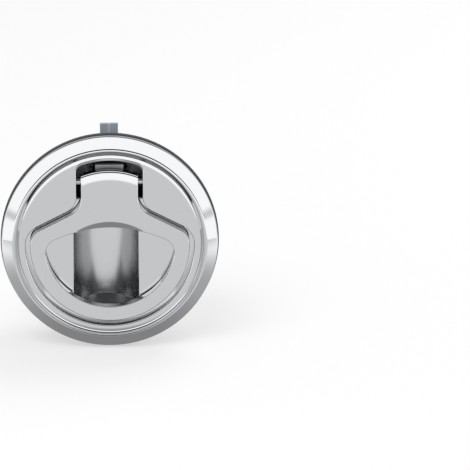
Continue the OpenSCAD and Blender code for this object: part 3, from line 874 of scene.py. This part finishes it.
def screw_head(r, height):
    """A round head with a cross recess, its underside at 0."""
    recess, reach, bottom = 0.35, 0.55 * r, 0.45 * height
    line = rounded(
        [(r - 0.3, 0), (r, 0), (r, height * 0.5), (r * 0.72, height * 0.96), (r * 0.35, height)], [0.12, 0.5, 0.8]
    )
    head = stack("head", [circle(ring_r, y, 64) for ring_r, y in line])
    cross = [
        block((-reach, bottom, -recess), (reach, height + 0.5, recess)),
        block((-recess, bottom, -reach), (recess, height + 0.5, reach)),
    ]
    return combine(head, cross, "DIFFERENCE")


def build_screws(name, head, thread, places, body, stands_for):
    piece = grown(screw_head(*head), TREES["thread"], {**thread, "Finish": FINISHES["steel"]})
    grown(piece, TREES["ring"], {**places, "Finish": FINISHES["steel"]})
    smooth(piece)
    finish_piece(piece, name, FINISHES["steel"], body, stands_for)


def build_washers():
    """Split rings of flat wire under the bracket screws' heads."""
    inner, outer, thick, rise, slit, steps = 2.1, 3.4, 0.8, 0.1, math.radians(8.5), 60
    rings = []
    for i in range(steps + 1):
        a = math.pi / 2 + slit + (2 * math.pi - 2 * slit) * i / steps
        low = rise * i / steps
        corners = ((inner, low), (outer, low), (outer, low + thick), (inner, low + thick))
        rings.append([(r * math.cos(a), y, r * math.sin(a)) for r, y in corners])
    sizes = {"Count": 2, "Ring radius": STRAP_POST_X, "First angle": 0.0, "Depth": 30.2, "Turn": 0.0}
    piece = grown(stack("washer", rings), TREES["ring"], {**sizes, "Finish": FINISHES["spring"]})
    smooth(piece)
    both = ["lock_washer_left", "lock_washer_right"]
    finish_piece(piece, "split_washers", FINISHES["spring"], "bracket", both)


# Pieces that keep the CAD shape, with softer edges

def build_softened(node, name, finish, body, width, segments=3):
    """A copy of a CAD piece whose edges are rounded over."""
    piece = bpy.data.objects.new(name, NODES[node].data.copy())
    bpy.context.scene.collection.objects.link(piece)
    piece.data.transform(Matrix.Scale(1 / MM, 4))
    work = bmesh.new()
    work.from_mesh(piece.data)
    bmesh.ops.remove_doubles(work, verts=work.verts, dist=0.002)
    bmesh.ops.dissolve_limit(work, angle_limit=math.radians(0.5), verts=work.verts, edges=work.edges)
    work.to_mesh(piece.data)
    work.free()
    soft = piece.modifiers.new("soft", "BEVEL")
    soft.width = width
    soft.segments = segments
    soft.limit_method = "ANGLE"
    soft.angle_limit = math.radians(35)
    soft.use_clamp_overlap = True
    settle(piece)
    smooth(piece)
    finish_piece(piece, name, FINISHES[finish], body, [node])


def build_knuckle_face():
    """The knuckle's flat front, which fills the slot above the tongue."""
    half, front, back, low, high, corner = 4.05, -2.1, 0.4, 19.8, 22.8, 0.35
    outline = rounded([(back, low), (front, low), (front, high), (back, high)], [corner, corner])
    piece = side_plate(outline, -half, half)
    smooth(piece)
    # The knuckle's front takes the darker finish: painted shade for the slot it sits in.
    finish_piece(piece, "knuckle_face", FINISHES["cast_and_shade"], "handle", [])


# Stage

def build_camera():
    distance, elevation = 1.2, math.radians(15)
    data = bpy.data.cameras.new("camera")
    data.sensor_width = 36
    data.lens = 317
    data.clip_start, data.clip_end = 0.05, 20
    camera = bpy.data.objects.new("camera", data)
    bpy.context.scene.collection.objects.link(camera)
    aim = Vector((0, FACE * MM, 0))
    camera.location = aim + distance * Vector((0, -math.cos(elevation), math.sin(elevation)))
    right, up = 0.0363, 0.0023
    target = aim + Vector((right, 0, 0)) + up * Vector((0, math.sin(elevation), math.cos(elevation)))
    camera.rotation_euler = (target - camera.location).to_track_quat("-Z", "Y").to_euler()
    bpy.context.scene.camera = camera


def build_world():
    """The studio as it is seen in the chrome: bright to the sides, a dark card above the front, a dim top and back."""
    make = Finish(bpy.data.worlds.new("studio"))
    bpy.context.scene.world = make.owner
    direction = make.value("TexCoord", "Generated")
    x, y, z = make.axes(direction)
    xx = x * x
    base, back_level, lid_level, lit_level = 1.0, 0.65, 0.24, 1.66
    front = make.ramp(y, -0.1, 0.25, 1.0, 0.0)
    level = base + front * (lit_level - base)
    back = make.ramp(y, 0.1, 0.4)
    level = level * (1 - back) + back * back_level
    lower = make.ramp(z + xx * 0.29, 0.24, 0.30)
    upper = make.ramp(z + xx * 0.5 + xx * xx * 0.35, 0.84, 0.90, 1.0, 0.0)
    card = lower * upper * make.ramp(y, -0.3, -0.1, 1.0, 0.0)
    level = level * (1 - card) + card * make.ramp(z, 0.3, 0.85, 0.01, 0.1)
    lid = make.ramp(y, -0.2, 0.05) * make.ramp(z, 0.2, 0.45) * make.ramp(xx, 0.25, 0.5, 1.0, 0.0)
    level = level * (1 - lid) + lid * lid_level
    camera_ray = make.value("LightPath", "Is Camera Ray")
    seen = make.mirrored_rays()
    plain = 0.55
    strength = camera_ray + (1 - camera_ray) * (seen * level + (1 - seen) * plain)
    light = make.node("Background", {"Color": (1, 1, 1, 1), "Strength": strength})
    make.node("OutputWorld", {"Surface": make.out(light, "Background")})


def build_floor():
    """A white floor. In reflections it shows painted light: a painted shadow that keeps it dim round the latch's foot,
    and a painted glow that keeps it even and bright in front of it.
    """
    half, near_edge, far_edge, low = 0.17, -0.7, 0.5, -0.03185

    def work_on(work):
        corners = [(-half, near_edge, low), (half, near_edge, low), (half, far_edge, low), (-half, far_edge, low)]
        work.faces.new(loop_of(work, corners))
    floor = made("floor", work_on)
    make = Finish(bpy.data.materials.new("pale_floor"))
    x, y, _ = make.axes(make.value("TexCoord", "Object"))
    across = make.math("ABSOLUTE", x)
    # Painted shadow seen in reflections beside the latch's foot, and painted glow ahead of it.
    painted_shadow_beside = 0.38 + 0.25 * make.ramp(across, 0.012, 0.050) + 0.9 * make.ramp(across, 0.050, 0.125)
    painted_glow_ahead = make.ramp(y, -0.62, -0.22, 1.66, 1.0)
    near = make.ramp(y, -0.026, -0.010)
    level = painted_glow_ahead * (1 - near) + painted_shadow_beside * near
    plain = make.value("BsdfDiffuse", "BSDF", {"Color": (0.36, 0.36, 0.36, 1)})
    camera_ray = make.value("LightPath", "Is Camera Ray")
    glow = make.value("Emission", "Emission", {"Color": (1, 1, 1, 1), "Strength": camera_ray * 0.57})
    real = make.value("AddShader", "Shader", {0: plain, 1: glow})
    mirrored = make.value("Emission", "Emission", {"Color": (1, 1, 1, 1), "Strength": level})
    shown = make.value("MixShader", "Shader", {0: make.mirrored_rays(), 1: real, 2: mirrored})
    make.node("OutputMaterial", {"Surface": shown})
    floor.data.materials.append(make.owner)


def build_lamps():
    for name, place, size, power in (
        ("key", (-0.25, -0.6, 0.7), 0.6, 5.0),
        ("fill", (0.4, 0.5, 0.7), 0.6, 4.0),
    ):
        data = bpy.data.lights.new(name, "AREA")
        data.shape = "SQUARE"
        data.size = size
        data.energy = power
        lamp = bpy.data.objects.new(name, data)
        bpy.context.scene.collection.objects.link(lamp)
        lamp.location = place
        lamp.rotation_euler = (-Vector(place)).to_track_quat("-Z", "Y").to_euler()
        lamp.visible_glossy = False


FINISHES = {
    "chrome": chrome_finish(),
    "handle": handle_finish(),
    "steel": steel_finish(),
    "spring": spring_finish(),
    "bolt": bolt_finish(),
    "sheet": sheet_finish(),
    "rubber": rubber_finish(),
    "cast_and_shade": cast_and_shade_finish(),
}

TREES = {"wire": wire_tree(), "thread": thread_tree(), "ring": ring_tree()}

build_camera()
build_world()
build_floor()
build_lamps()
build_housing()
build_handle()
for side, name in ((-1, "handle_spring_left"), (1, "handle_spring_right")):
    build_handle_spring(side, name)
build_bolt_spring()
build_knuckle_face()
build_screws(
    "cover_screws", (2.75, 1.8),
    {"Shank radius": 1.45, "Thread depth": 0.22, "Pitch": 0.7, "Length": 9.0, "Rows": 112},
    {"Count": 4, "Ring radius": POST_RING, "First angle": math.radians(45), "Depth": 22.3, "Turn": 0.5},
    "housing", ["cover_screw_1", "cover_screw_2", "cover_screw_3", "cover_screw_4"]
)
build_screws(
    "bracket_screws", (3.6, 2.6),
    {"Shank radius": 1.95, "Thread depth": 0.3, "Pitch": 1.0, "Length": 23.1, "Rows": 196},
    {"Count": 2, "Ring radius": STRAP_POST_X, "First angle": 0.0, "Depth": 31.1, "Turn": 0.6},
    "bracket", ["bracket_screw_left", "bracket_screw_right"]
)
build_washers()
for node, name, finish, body, slot, width in (
    ("hinge_pin", "pin", "steel", "housing", "steel", 0.2),
    ("latch_bolt", "sliding_bolt", "bolt", "bolt", "zinc_bolt", 0.3),
    ("spring_guide_rod", "guide_rod", "steel", "housing", "steel", 0.2),
    ("handle_bumper_left", "bumper_left", "rubber", "housing", "rubber", 0.2),
    ("handle_bumper_right", "bumper_right", "rubber", "housing", "rubber", 0.2),
    ("gasket", "panel_seal", "rubber", "housing", "rubber", 0.25),
    ("back_cover", "cover_plate", "sheet", "housing", "plated_sheet", 0.25),
    ("mounting_bracket", "clamp_bracket", "sheet", "bracket", "plated_sheet", 0.3),
):
    build_softened(node, name, finish, body, width)

bpy.context.scene.view_settings.view_transform = "Standard"
